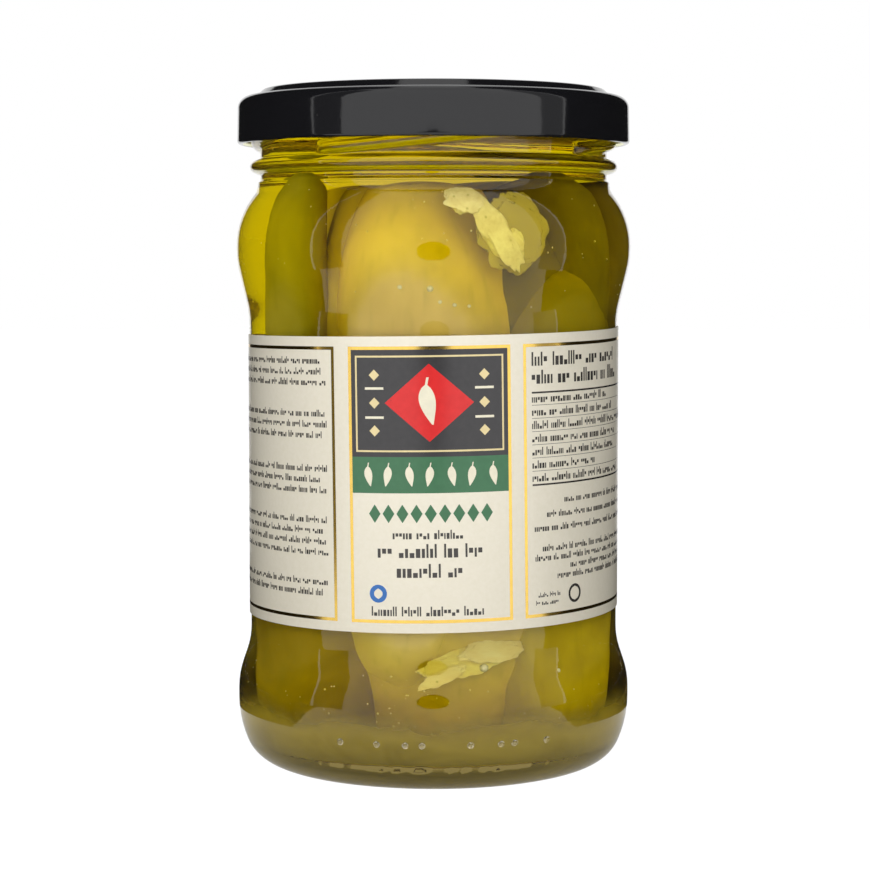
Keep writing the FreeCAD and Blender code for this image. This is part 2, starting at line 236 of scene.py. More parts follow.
def bumps(add, texture, strength, distance, **sockets):
    """The normal that a noise texture's bumps give, that strong and that high in metres."""
    sockets.update({"Strength": strength, "Distance": distance, "Height": texture.outputs["Fac"]})
    return add("Bump", sockets).outputs["Normal"]


def ramp(add, factor, stops):
    """A colour ramp on that factor. stops are (place, colour)."""
    node = add("ValToRGB", {"Fac": factor})
    elements = node.color_ramp.elements
    while len(elements) < len(stops):
        elements.new(0.5)
    for element, (place, colour) in zip(elements, stops):
        element.position = place
        element.color = (*colour, 1.0)
    return node.outputs["Color"]


def mixed(add, factor, one, two):
    """Two colours mixed by that factor."""
    node = add("Mix", data_type="RGBA")
    tree = node.id_data
    for socket, value in ((node.inputs["Factor"], factor), (node.inputs[6], one), (node.inputs[7], two)):
        if isinstance(value, bpy.types.NodeSocket):
            tree.links.new(value, socket)
        elif socket.type == "RGBA":
            socket.default_value = (*value, 1.0)
        else:
            socket.default_value = value
    return node.outputs[2]


WHITE = (1.0, 1.0, 1.0, 1.0)
WET = 1.001                # the index where oil lies on glass or food: light goes through unbent


def glass_material(name, ior):
    """Clear glass with a faint wobble, of that index: 1.49 in the open, and WET where oil lies on it."""
    material, output, add = new_material(name)
    wobble = add("TexNoise", {"Scale": 60.0, "Detail": 1.0})
    surface(output, add("BsdfPrincipled", {
        "Base Color": WHITE,
        "Roughness": 0.0,
        "IOR": ior,
        "Transmission Weight": 1.0,
        "Normal": bumps(add, wobble, 0.006, 0.001),
    }))
    return material


def oil_material():
    """Clear oil. The deeper a thing lies in it, the yellower it looks."""
    material, output, add = new_material("pepper_oil")
    shader = add("BsdfPrincipled", {
        "Base Color": WHITE,
        "Roughness": 0.0,
        "IOR": WET,
        "Transmission Weight": 1.0,
    })
    surface(output, shader)
    volume = add("VolumeAbsorption", {"Color": (0.984, 0.974, 0.0, 1.0), "Density": 600.0})
    output.id_data.links.new(volume.outputs[0], output.inputs["Volume"])
    return material


def lacquer_material():
    """Black stoving lacquer: glossy, with a faint orange peel and a few pale specks of dust."""
    material, output, add = new_material("black_lacquer")
    place = add("TexCoord").outputs["Object"]
    peel = add("TexNoise", {"Vector": place, "Scale": 900.0, "Detail": 2.0})
    specks = add("TexVoronoi", {"Vector": place, "Scale": 260.0})
    dust = ramp(add, specks.outputs["Distance"], [(0.0, (1, 1, 1)), (0.035, (0, 0, 0))])
    smear = add("TexNoise", {"Vector": place, "Scale": 45.0, "Detail": 4.0})
    gloss = scaled(add, smear.outputs["Fac"], 0.05, 0.11)
    colour = mixed(add, dust, (0.008, 0.008, 0.0095), (0.09, 0.088, 0.085))
    surface(output, add("BsdfPrincipled", {
        "Base Color": colour,
        "Roughness": gloss,
        "IOR": 1.5,
        "Normal": bumps(add, peel, 0.03, 0.0002),
    }))
    return material


def paper_material():
    """Coated cream paper with faint fibres."""
    material, output, add = new_material("label_paper")
    place = add("TexCoord").outputs["Object"]
    fibres = add("TexNoise", {"Vector": place, "Scale": 1400.0, "Detail": 3.0})
    tone = ramp(add, fibres.outputs["Fac"], [(0.3, (0.84, 0.785, 0.64)), (0.7, (0.87, 0.815, 0.68))])
    surface(output, add("BsdfPrincipled", {
        "Base Color": tone,
        "Roughness": 0.25,
        "IOR": 1.5,
        "Normal": bumps(add, fibres, 0.05, 0.00005),
    }))
    return material


def ink_material(name, colour, **extra):
    """Printed or lacquered colour, very slightly patchy. extra sets other sockets of the shader."""
    patchy = 0.04
    material, output, add = new_material(name)
    place = add("TexCoord").outputs["Object"]
    grain = add("TexNoise", {"Vector": place, "Scale": 900.0, "Detail": 2.0})
    light = tuple(min(1.0, c * (1 + patchy) + 0.002) for c in colour)
    dark = tuple(c * (1 - patchy) for c in colour)
    tone = ramp(add, grain.outputs["Fac"], [(0.3, dark), (0.7, light)])
    surface(output, add("BsdfPrincipled", {"Base Color": tone, "Roughness": 0.22, "IOR": 1.5, **extra}))
    return material


# ---------------- glass, oil and lid

def jar_side(inset=0.0):
    """The corners of the jar's side, moved in by inset."""
    return [(radius - inset, height, rounding - inset if radius > WAIST else rounding + inset)
            for radius, height, rounding in SIDE]


def thread_height(angle):
    """How high the middle of the thread is above its low end, and how full the thread is, at each angle."""
    along = (angle - THREAD_START) % THREAD_PITCH
    share = along / THREAD_LENGTH
    climb = THREAD_CLIMB * (0.5 - 0.5 * np.cos(np.pi * np.clip(share, 0, 1)) + share) / 2
    starting, ending = 5.0, 4.0        # degrees over which it rises from the glass and sinks back
    full = np.clip(along / starting, 0, 1) * np.clip((THREAD_LENGTH - along) / ending, 0, 1)
    return climb, np.sqrt(full)


def press(radius, height, angle):
    """Shapes the outside of the neck: its bead and its screw threads, and the faint waves of the glass."""
    outside = (radius > NECK - 0.6) & (height > NECK_BASE + 0.1) & (height < RIM - 1.5)
    bead = np.sqrt(np.clip(1 - ((height - BEAD_HEIGHT) / BEAD_HALF) ** 2, 0, 1))
    climb, full = thread_height(angle)
    across = (height - THREAD_LOW - climb) / THREAD_HALF
    thread = full * np.clip(1 - across**2, 0, 1) ** 0.7
    reach = np.maximum(BEAD_REACH * bead**0.8, THREAD_REACH * thread)
    way = np.radians(angle)
    deepest = 0.05                     # the waves only go inward, as the solid has the full radius
    wave = 0.03 * np.sin(3 * way + 0.09 * height) + 0.02 * np.sin(7 * way - 0.16 * height) - deepest
    return radius + np.where(outside, reach, 0.0) + wave * (radius > 20), height


def line_with(material, piece, start):
    """Gives a lathed piece another material from that ring of its points on."""
    piece.data.materials.append(material)
    for face in piece.data.polygons:
        face.material_index = int(min(face.vertices) >= start * TURN)


def make_glass():
    """The jar. The material of its inner face is that of glass wetted by oil."""
    outside = rounded([(0, 2.2, 0), (18.0, 2.0, 5.0), (24.6, 0.0, 1.5)] + jar_side()
                      + [(NECK_FOOT, NECK_BASE - 0.4, 0.2), (NECK, NECK_BASE, 0.2),
                         (NECK, RIM, 1.1), (LIP, RIM, 0)])
    inside = rounded([(LIP, RIM, 0), (MOUTH, RIM, 1.0), (MOUTH, MOUTH_BASE, 4.0)] + jar_side(WALL)[:1:-1]
                     + [(BULGE - WALL, FLOOR_INSIDE, HEEL_INSIDE), (0, FLOOR_INSIDE, 0)])
    fine = NECK_BASE - 0.5             # from here up the glass has its bead and its threads
    outside = finer(outside, 2.0, high=fine)
    outside = finer(outside, 0.28, low=fine)
    glass = lathe("glass_jar", np.vstack([outside, finer(inside, 3.0)[1:]]),
                  glass_material("clear_glass", 1.49), press)
    line_with(glass_material("wet_glass", WET), glass, len(outside))
    return glass


def make_oil():
    """The oil reaches just into the wall of the glass, so that no gap of air shows."""
    reach = 0.15
    path = rounded([(0, FLOOR_INSIDE - reach, 0), (BULGE - WALL + reach, FLOOR_INSIDE - reach, HEEL_INSIDE)]
                   + jar_side(WALL - reach)[2:]
                   + [(MOUTH + reach, MOUTH_BASE, 4.0), (MOUTH + reach, OIL_LEVEL, 0), (0, OIL_LEVEL, 0)])
    return lathe("oil_fill", finer(path, 3.0), oil_material())


def dent(radius, height, angle):
    """The lid's skirt is pressed in a little at each lug, and its rolled edge is a little higher there."""
    before, wide, tall = 5.0, 6.0, 3.2     # degrees before a thread's start, degrees wide, height
    along = (angle - THREAD_START + before) % THREAD_PITCH
    away = np.minimum(along, THREAD_PITCH - along)
    lug = np.exp(-((away / wide) ** 2)) * np.clip((LID_BASE + tall - height) / tall, 0, 1)
    return radius - 0.22 * lug * (radius > 33), height + 0.1 * lug


def make_lid():
    """The lid, black outside and gold from the inner edge of its curl inward."""
    base, top = LID_BASE, LID_TOP
    ledge, skirt, metal = top - 1.2, 34.35, 0.35
    outside = rounded([
        (0, top - metal, 0), (11.0, top - metal, 2.0), (12.2, top, 2.0), (29.9, top, 0.9),
        (31.2, ledge, 0.6), (skirt - 0.05, ledge, 2.1), (skirt + 0.1, base, 0.62),
        (skirt - 1.2, base, 0.6), (skirt - 1.2, base + 1.7, 0.3), (skirt - 0.4, base + 2.4, 0.3),
        (skirt - 0.4, ledge - metal, 1.7), (30.9, ledge - metal, 0.5), (29.7, top - metal, 0.5),
        (0, top - metal - 0.01, 0),
    ], step=9.0)
    path = finer(outside, 0.7, low=base, high=base + 3.4)
    lid = lathe("lid_cap", path, lacquer_material(), dent)
    curl = int(np.argmax((path[:, 0] < skirt - 0.6) & (path[:, 1] < base + 2.6)))
    line_with(ink_material("inside_lacquer", (0.88, 0.88, 0.52), Metallic=0.9), lid, curl + 1)
    return lid


def balls(name, places, material):
    """Small balls in one mesh, each by its angle, distance from the axis, height and radius."""
    work = bmesh.new()
    for angle, out, height, radius in places:
        at = Matrix.Translation(Vector(spot(angle, out, height) * MM))
        bmesh.ops.create_icosphere(work, subdivisions=3, radius=radius * MM, matrix=at)
    return from_bmesh(name, work, material)


def make_marks(material):
    """The moulded dots low on the heel."""
    sunk, height, radius = 0.57, 8.6, 0.55
    angles = (-27, -16, -7.8, -3.1, 10.4, 19.2, 23.3, 33.6)
    return balls("heel_marks", [(angle, BULGE - sunk, height, radius) for angle in angles], material)


glass = make_glass()
marks = make_marks(glass.data.materials[0])
oil = make_oil()
lid = make_lid()

# ---------------- label

LABEL_FACE = LABEL_RADIUS - 0.06       # the printed face, in the radius that the model gives the paper
LABEL_TILT = 0.8                       # degrees: it was stuck on a little askew
LABEL_WRAP = 347.0                     # degrees of the jar that it goes round
LABEL_MIDDLE = (LABEL_BASE + LABEL_TOP) / 2
HALF_HEIGHT = (LABEL_TOP - LABEL_BASE) / 2 - 0.55      # less than the model's, as it is tilted
INK = 0.012                            # how far print stands off the paper


def on_label(across, up, lift):
    """The place on the jar of a point of the flat label: right of its middle, up, and off the paper."""
    tilt = math.radians(LABEL_TILT)
    along = across * math.cos(tilt) - up * math.sin(tilt)
    height = LABEL_MIDDLE + across * math.sin(tilt) + up * math.cos(tilt)
    radius = LABEL_FACE + lift
    way = along / LABEL_FACE + math.radians(FRONT)
    return (radius * math.cos(way), radius * math.sin(way), height)


def slabs(name, shapes, material, low, high):
    """Thin raised shapes on the label, joined in one piece, from one height off the paper to another.

    Each shape is a list of rows from its bottom to its top, a row being (left, right, up).
    """
    points, faces = [], []
    for rows in shapes:
        widest = max(right - left for left, right, _ in rows)
        columns = max(1, math.ceil(widest / 1.2))
        start = len(points)
        wide = columns + 1
        for lift in (low, high):
            for left, right, up in rows:
                points += [on_label(left + (right - left) * c / columns, up, lift) for c in range(wide)]
        sheet = len(rows) * wide

        def at(layer, row, column):
            return start + layer * sheet + row * wide + column

        def side(one, two):
            return [at(0, *one), at(1, *one), at(1, *two), at(0, *two)]

        top = len(rows) - 1
        for row in range(top):
            for column in range(columns):
                corners = [(row, column), (row, column + 1), (row + 1, column + 1), (row + 1, column)]
                faces.append([at(1, *c) for c in corners])
                faces.append([at(0, *c) for c in reversed(corners)])
            faces += [side((row, 0), (row + 1, 0)), side((row + 1, columns), (row, columns))]
        for column in range(columns):
            faces += [side((0, column + 1), (0, column)), side((top, column), (top, column + 1))]
    piece = from_points(name, points, faces, material)
    piece.data.set_sharp_from_angle(angle=0.6)
    return piece


def box(left, right, low, high):
    """A rectangle as a slab shape."""
    return [(left, right, low), (left, right, high)]


def frame_lines(left, right, low, high, width):
    """A rectangular frame, its outer edges given, as four slab shapes."""
    return [
        box(left, right, low, low + width),
        box(left, right, high - width, high),
        box(left, left + width, low + width, high - width),
        box(right - width, right, low + width, high - width),
    ]


def lozenge(middle, up, half_wide, half_high):
    """A diamond as a slab shape."""
    steps = max(2, 2 * math.ceil(half_wide))
    rows = []
    for k in range(steps + 1):
        share = 2 * k / steps - 1
        half = 0.03 + (half_wide - 0.03) * (1 - abs(share))
        rows.append((middle - half, middle + half, up + half_high * share))
    return rows


def hoop(middle, up, radius, hole):
    """A flat ring in two halves, as slab shapes."""
    turns = [math.radians(-84 + 12 * k) for k in range(15)]
    outer = [(radius * math.cos(t), up + radius * math.sin(t)) for t in turns]
    inner = [math.sqrt(max(hole**2 - (height - up) ** 2, 0)) for _, height in outer]
    return [[(middle + gap, middle + half, height) for (half, height), gap in zip(outer, inner)],
            [(middle - half, middle - gap, height) for (half, height), gap in zip(outer, inner)]]


def pepper_mark(middle, up, length, bend):
    """A plain little pepper: a bent tapering body with a stalk."""
    rows = []
    for k in range(13):
        share = k / 12
        half = length * (0.02 + 0.19 * math.sin(math.pi * share**1.4) ** 0.7)
        aside = middle + bend * length * (1 - share) ** 2
        rows.append((aside - half, aside + half, up + length * (share - 0.5)))
    stalk = [(middle - 0.03 * length, middle + 0.03 * length, up + 0.47 * length),
             (middle + 0.01 * length, middle + 0.07 * length, up + 0.68 * length)]
    return [rows, stalk]


# Strokes that stand for letters: width, low end and high end, each as a share of the line's height.
STROKES = ((0.15, 0, 1.0), (0.32, 0, 0.66), (0.16, 0, 0.66), (0.30, 0.3, 0.66),
           (0.22, 0, 0.66), (0.34, 0, 0.36))


def script(left, right, up, tall, rng):
    """A line of small blocks and strokes in clumps, where a line of words would stand."""
    between, space = 0.11, 0.42
    shapes = []
    at = left
    while at < right - tall:
        for _ in range(rng.randint(3, 9)):
            wide, low, high = rng.choice(STROKES)
            if at + wide * tall > right:
                break
            shapes.append(box(at, at + wide * tall, up + low * tall, up + high * tall))
            at += tall * (wide + between)
        at += tall * space
    return shapes


PANEL_LOW, PANEL_HIGH = -22.9, 22.9
FOIL = 0.55                # width of the gold lines


def make_front(inks, rng):
    """The middle panel: a dark field with a red lozenge, a green band and lines below."""
    left, right = -14.3, 13.35
    inner_left, inner_right = left + FOIL, right - FOIL
    middle = (left + right) / 2
    inks["gold_foil"] += frame_lines(left, right, PANEL_LOW, PANEL_HIGH, FOIL)
    inks["dark_grey"].append(box(inner_left, inner_right, 4.7, PANEL_HIGH - FOIL))
    inks["green"].append(box(inner_left, inner_right, -1.3, 4.7))
    inks["pale_gold"] += frame_lines(left + 1.3, right - 1.3, 5.5, PANEL_HIGH - 1.5, 0.3)
    centre = 13.6
    inks["red"].append(lozenge(middle, centre, 7.4, 6.4))
    inks["cream"] += pepper_mark(middle - 0.5, centre - 0.3, 6.6, 0.16)
    for side in (-1, 1):
        beside = middle + side * 9.2
        inks["pale_gold"] += [lozenge(beside, centre + rise, 0.9, 0.9) for rise in (-4.6, 0, 4.6)]
        inks["cream"] += [box(beside - 1.6, beside + 1.6, centre + rise - 0.2, centre + rise + 0.2)
                          for rise in (-2.4, 2.4)]
    for k in range(7):
        inks["cream"] += pepper_mark(middle + (k - 3) * 3.5, 1.5, 3.3, 0.14 * (-1) ** k)
    for k in range(9):
        inks["green"].append(lozenge(middle + (k - 4) * 2.35, -4.7, 1.0, 1.5))
    for up, half, tall in ((-8.9, 6.4, 1.5), (-12.0, 9.0, 2.3), (-15.3, 5.8, 2.3), (-21.7, 10.2, 1.6)):
        inks["dark_ink"] += script(middle - half, middle + half, up, tall, rng)
    inks["blue"] += hoop(middle - 9.0, -18.0, 1.5, hole=0.75)


def make_side(inks, rng, left, right, table):
    """A side panel: lines of small print, below a heading and ruled rows where it has a table."""
    inks["gold_foil"] += frame_lines(left, right, PANEL_LOW, PANEL_HIGH, FOIL)
    low, high = left + 1.6, right - 1.6
    if table:
        for up in (19.2, 16.2):
            inks["dark_ink"] += script(low, high - 14, up, 2.3, rng)
        rules = [14.9 - 2.2 * k for k in range(8)]
        inks["dark_ink"] += [box(low, high, up - (0.3 if k in (0, 7) else 0.07), up)
                             for k, up in enumerate(rules)]
        for up in rules[:-1]:
            inks["dark_ink"] += script(low, low + rng.uniform(16, 34), up - 1.8, 1.35, rng)
        lines = [-3.9, -6.2, -8.5, -11.9, -13.5, -15.1, -16.7]
    else:
        lines = [20.0, 18.2, 16.4, 11.2, 9.4, 7.6, 2.0, 0.2, -1.6, -6.6, -8.4, -10.2, -12.0, -17.0, -18.8]
    for up in lines:
        short = rng.uniform(0, 9)
        inks["dark_ink"] += script(low + short, high, up, 1.15, rng)
    if table:
        for inset, up in ((1.0, -19.6), (0.5, -20.9)):
            inks["dark_ink"] += script(low + inset, low + 6.0, up, 0.8, rng)
        inks["dark_ink"] += hoop(low + 9.3, -19.6, 1.6, hole=1.15)


def make_back(inks, rng, left, right):
    """The panel behind: a green square with a pepper, and a few lines."""
    inks["gold_foil"] += frame_lines(left, right, PANEL_LOW, PANEL_HIGH, FOIL)
    middle = (left + right) / 2
    inks["green"].append(box(middle - 8, middle + 8, 2, 18))
    inks["cream"] += pepper_mark(middle, 9.5, 11.0, 0.15)
    for k in range(6):
        inks["dark_ink"] += script(left + 3, right - 3 - rng.uniform(0, 6), -3.4 - 2.6 * k, 1.3, rng)


INKS = {                   # colour, and the height off the paper that each ink starts at
    "dark_grey": ((0.040, 0.038, 0.040), 0.0),
    "green": ((0.045, 0.17, 0.075), 0.0),
    "gold_foil": ((0.86, 0.58, 0.14), 0.0),
    "dark_ink": ((0.05, 0.045, 0.04), 0.0),
    "blue": ((0.03, 0.16, 0.50), 0.0),
    "red": ((0.72, 0.012, 0.012), INK),
    "pale_gold": ((0.80, 0.66, 0.34), INK),
    "cream": ((0.85, 0.80, 0.62), 2 * INK),
}


def make_label():
    """The paper, all but round the jar, and the print on it in one piece for each ink."""
    half = LABEL_FACE * math.radians(LABEL_WRAP / 2)
    rows = [(-half, half, HALF_HEIGHT * (2 * k / 8 - 1)) for k in range(9)]
    pieces = [slabs("label_sheet", [rows], paper_material(), low=-0.16, high=0.0)]
    inks = {name: [] for name in INKS}
    rng = random.Random(11)
    make_front(inks, rng)
    make_side(inks, rng, 15.7, 58.5, table=True)
    make_side(inks, rng, -60.0, -17.0, table=False)
    make_back(inks, rng, 60.3, 96.0)
    make_back(inks, rng, -96.0, -61.8)
    for name, (colour, low) in INKS.items():
        extra = {"Metallic": 1.0, "Roughness": 0.16} if name == "gold_foil" else {}
        pieces.append(slabs(f"print_{name}", inks[name], ink_material(f"{name}_ink", colour, **extra),
                            low=low, high=low + INK))
    return pieces


label_pieces = make_label()

# ---------------- what is sunk in the oil

ROOM = 0.35                # what is sunk stays this far inside the glass's inner wall
CLOUD_TOP = 14.5           # the height at which the settled cloud has thinned out to nothing
CLOUD_FADE = 6.0           # the depth below that over which it thins out


def inside_profile():
    """Heights, rising, and radii of the glass's inner wall."""
    path = rounded([(0, FLOOR_INSIDE, 0), (BULGE - WALL, FLOOR_INSIDE, HEEL_INSIDE)] + jar_side(WALL)[2:]
                   + [(MOUTH, MOUTH_BASE, 4.0), (MOUTH, RIM, 0)])
    wall = path[path[:, 0] > 20]
    return wall[:, 1], wall[:, 0]


WALL_HEIGHTS, WALL_RADII = inside_profile()


def keep_inside(points, room=ROOM):
    """Presses points against the inner wall, the floor and the oil's surface, as a full jar does."""
    points[:, 2] = np.clip(points[:, 2], FLOOR_INSIDE + room, OIL_LEVEL - room)
    limit = np.interp(points[:, 2], WALL_HEIGHTS, WALL_RADII) - room
    away = np.hypot(points[:, 0], points[:, 1])
    share = np.where(away > limit, limit / np.maximum(away, 1e-6), 1.0)
    points[:, 0] *= share
    points[:, 1] *= share
    return points


def rough(points, size, strength, seed):
    """Noise at each point, in millimetres: size is how wide its lumps are."""
    shift = Vector((seed * 7.3, seed * 3.1, seed * 5.7))
    return np.array([strength * noise.noise(Vector(p) / size + shift) for p in points])


def tube_mesh(name, spine, girths, material, seed):
    """A closed rounded body along a spine, with soft lobes and uneven skin."""
    around, lobes, lumps = 40, 0.05, 0.5
    spine = np.array(spine)
    ahead = np.gradient(spine, axis=0)
    ahead /= np.linalg.norm(ahead, axis=1)[:, None]
    side = np.cross(ahead, (0.3, 0.9, 0.1))
    side /= np.linalg.norm(side, axis=1)[:, None]
    other = np.cross(ahead, side)
    points = []
    for k in range(around):
        way = 2 * math.pi * k / around
        lobe = 1 + lobes * math.cos(3 * way + seed) + 0.6 * lobes * math.cos(2 * way + 1.7 * seed)
        out = side * math.cos(way) + other * math.sin(way)
        points.append(spine + out * (girths * lobe)[:, None])
    points = np.stack(points, axis=1).reshape(-1, 3)
    ends = np.array([spine[0], spine[-1]])
    points = np.vstack([points, ends])
    middle = np.vstack([np.repeat(spine, around, axis=0), ends])
    outwards = points - middle
    length = np.maximum(np.linalg.norm(outwards, axis=1), 1e-6)[:, None]
    for width, strength, pattern in ((7.0, lumps, seed), (2.2, lumps * 0.22, seed + 1)):
        points = points + outwards / length * rough(points, width, strength, pattern)[:, None]
    return from_points(name, keep_inside(points), tube_faces(len(spine), around), material)


def flesh_material(name, pale, deep, seed):
    """Skin of a pickled pepper: mottled between two tones, with duller streaks along it and fine pores."""
    blotch = (0.20, 0.19, 0.02)
    material, output, add = new_material(name)
    place = add("TexCoord").outputs["Object"]
    moved = add("Mapping", {"Vector": place, "Location": (seed, seed * 2, seed * 3)}).outputs[0]
    broad = add("TexNoise", {"Vector": moved, "Scale": 70.0, "Detail": 3.0, "Distortion": 0.6})
    streak = add("Mapping", {"Vector": moved, "Scale": (1.0, 1.0, 0.16)}).outputs[0]
    lines = add("TexNoise", {"Vector": streak, "Scale": 520.0, "Detail": 3.0})
    fine = add("TexNoise", {"Vector": moved, "Scale": 900.0, "Detail": 2.0})
    tone = ramp(add, broad.outputs["Fac"], [(0.35, deep), (0.65, pale)])
    dull = ramp(add, lines.outputs["Fac"], [(0.55, (0, 0, 0)), (0.85, (0.22, 0.22, 0.22))])
    tone = mixed(add, dull, tone, blotch)
    streaks = bumps(add, lines, 0.08, 0.0002)
    surface(output, add("BsdfPrincipled", {
        "Base Color": tone,
        "Roughness": 0.42,
        "IOR": WET,
        "Normal": bumps(add, fine, 0.2, 0.0001, Normal=streaks),
    }))
    return material


def cheese_material(name, hollow, high, torn=1.0):
    """Cream cheese with small specks of herbs, and painted shade: darker in its hollows than on its high
    clumps.

    Where torn is less than 1 its clumps are drawn out sideways, as if pulled apart.
    """
    material, output, add = new_material(name)
    place = add("TexCoord").outputs["Object"]
    pulled = add("Mapping", {"Vector": place, "Rotation": (0.0, 0.35 * (torn < 1), 0.0),
                             "Scale": (torn, 1.0, 1.0)}).outputs[0]
    clumps = add("TexNoise", {"Vector": pulled, "Scale": 260.0, "Detail": 5.0, "Roughness": 0.65})
    herbs = add("TexVoronoi", {"Vector": place, "Scale": 420.0})
    # Painted shade: where the clumps' bumps are low, the cheese takes the darker colour.
    tone = ramp(add, clumps.outputs["Fac"], [(0.3, hollow), (0.65, high)])
    flecks = ramp(add, herbs.outputs["Distance"], [(0.05, (0.6, 0.6, 0.6)), (0.12, (0, 0, 0))])
    tone = mixed(add, flecks, tone, (0.45, 0.36, 0.08))
    surface(output, add("BsdfPrincipled", {
        "Base Color": tone,
        "Roughness": 0.55,
        "Subsurface Weight": 0.15,
        "Subsurface Radius": (1.0, 0.85, 0.5),
        "Subsurface Scale": 0.003,
        "IOR": WET,
        "Normal": bumps(add, clumps, 0.6, 0.0006),
    }))
    return material


def girth_along(share, blunt_low, blunt_high):
    """How full a pepper is along its length, from 0 at each end to 1 at its widest."""
    widest = 0.55
    low = np.clip(share / widest, 0, 1)
    high = np.clip((1 - share) / (1 - widest), 0, 1)
    return (1 - (1 - low) ** 2) ** blunt_low * (1 - (1 - high) ** 2) ** blunt_high


# Each one's angle, distance from the axis, low and high end, girth, lean in degrees, bow outwards,
# bluntness of the low and the high end, and skin.
PEPPERS = {
    "pepper_long": (-56.5, 24.0, 40, 103.5, 6.3, 2.0, 1.0, 0.5, 0.32, "olive"),
    "pepper_pale": (-2, 16.0, 46, 101, 14.4, -7.0, 1.5, 0.6, 0.45, "pale"),
    "pepper_right_top": (38, 16.5, 50, 97, 11.0, -3.0, 0.5, 0.6, 0.5, "dark"),
    "pepper_right_side": (66, 17.5, 60, 104, 10.0, -6.0, 0.5, 0.6, 0.5, "dark"),
    "pepper_right_low": (53, 18.5, 38, 89.0, 14.0, 3.0, 0.5, 0.6, 0.32, "moss"),
    "pepper_back_right": (108, 19.5, 52, 102, 10.5, 4.0, 1.0, 0.6, 0.5, "dark"),
    "pepper_back": (158, 18.5, 50, 101, 11.0, -5.0, 1.0, 0.6, 0.45, "lime"),
    "pepper_back_left": (-140, 9.0, 50, 93, 9.0, 6.0, 0.5, 0.6, 0.5, "pale"),
    "pepper_left": (-80, 8.0, 54, 98, 8.5, -4.0, 0.5, 0.55, 0.45, "glossy"),
    "pepper_between": (-36, 14.0, 50, 99, 9.0, 3.0, 0.5, 0.55, 0.5, "bright"),
    "pepper_left_low": (-57, 18.5, 5.0, 62, 14.0, -4.0, 1.0, 0.3, 0.5, "brown"),
    "pepper_tip": (-14, 19.0, 12.0, 60, 12.5, -4.0, 0.5, 0.65, 0.5, "cream"),
    "pepper_bright": (54, 19.0, 4.5, 50, 13.0, 3.0, 1.0, 0.3, 0.5, "bright"),
    "pepper_low_right": (100, 19.5, 9, 56, 11.5, -5.0, 1.0, 0.5, 0.5, "dark"),
    "pepper_low_back": (148, 19.5, 7, 55, 12.0, 6.0, 1.0, 0.5, 0.5, "pale"),
    "pepper_low_back_left": (-160, 19.0, 8, 54, 11.0, -4.0, 1.0, 0.5, 0.5, "green"),
    "pepper_low_left": (-106, 19.5, 9, 56, 11.5, 5.0, 1.0, 0.5, 0.5, "olive"),
    "pepper_core_low": (8, 9.0, 5.0, 60, 21.0, 0.0, 0.0, 0.35, 0.5, "dusky"),
}
SKINS = {                  # pale and deep tone of each skin
    "olive": ((0.40, 0.32, 0.03), (0.30, 0.245, 0.02)),
    "pale": ((0.78, 0.56, 0.20), (0.64, 0.45, 0.13)),
    "cream": ((0.86, 0.66, 0.27), (0.74, 0.55, 0.19)),
    "green": ((0.42, 0.34, 0.04), (0.33, 0.265, 0.03)),
    "brown": ((0.38, 0.26, 0.02), (0.28, 0.19, 0.01)),
    "dark": ((0.21, 0.155, 0.015), (0.15, 0.11, 0.01)),
    "bright": ((0.54, 0.40, 0.02), (0.43, 0.31, 0.02)),
    "moss": ((0.34, 0.25, 0.01), (0.26, 0.19, 0.01)),
    "lime": ((0.52, 0.49, 0.08), (0.43, 0.40, 0.06)),
    # The glossy skin is only a lighter, yellower tone, no shinier than the others.
    "glossy": ((0.74, 0.61, 0.05), (0.62, 0.51, 0.03)),
    "dusky": ((0.72, 0.54, 0.22), (0.58, 0.42, 0.14)),
}


def make_peppers():
    """The peppers, each along a spine that leans and bows outwards."""
    skins = {name: flesh_material(f"{name}_skin", *tones, seed=0.1 * i)
             for i, (name, tones) in enumerate(SKINS.items())}
    pieces = []
    for seed, (name, spec) in enumerate(PEPPERS.items()):
        angle, out, low, high, girth, lean, bow, blunt_low, blunt_high, skin = spec
        share = (1 - np.cos(np.linspace(0, math.pi, 44))) / 2
        height = low + (high - low) * share
        turn = angle + lean * (share - 0.5) * 2
        away = out + bow * np.sin(math.pi * share)
        spine = [spot(a, o, h) for a, o, h in zip(turn, away, height)]
        girths = girth * girth_along(share, blunt_low, blunt_high)
        pieces.append(tube_mesh(name, spine, girths, skins[skin], seed=seed + 1))
    return pieces


def lump(name, centre, size, material, turn, room, seed):
    """A rough rounded piece: size is its half-lengths before the turn, room how far it is from the wall."""
    work = bmesh.new()
    bmesh.ops.create_icosphere(work, subdivisions=5, radius=1.0)
    points = np.array([v.co for v in work.verts])
    grain = rough(points, 0.55, 0.3, seed) + rough(points, 0.22, 0.135, seed + 2)
    points = points * (1 + grain)[:, None] * np.array(size)
    spin = Euler([math.radians(angle) for angle in turn]).to_matrix()
    points = keep_inside(points @ np.array(spin).T + centre, room)
    for vertex, point in zip(work.verts, points):
        vertex.co = point * MM
    return from_bmesh(name, work, material)


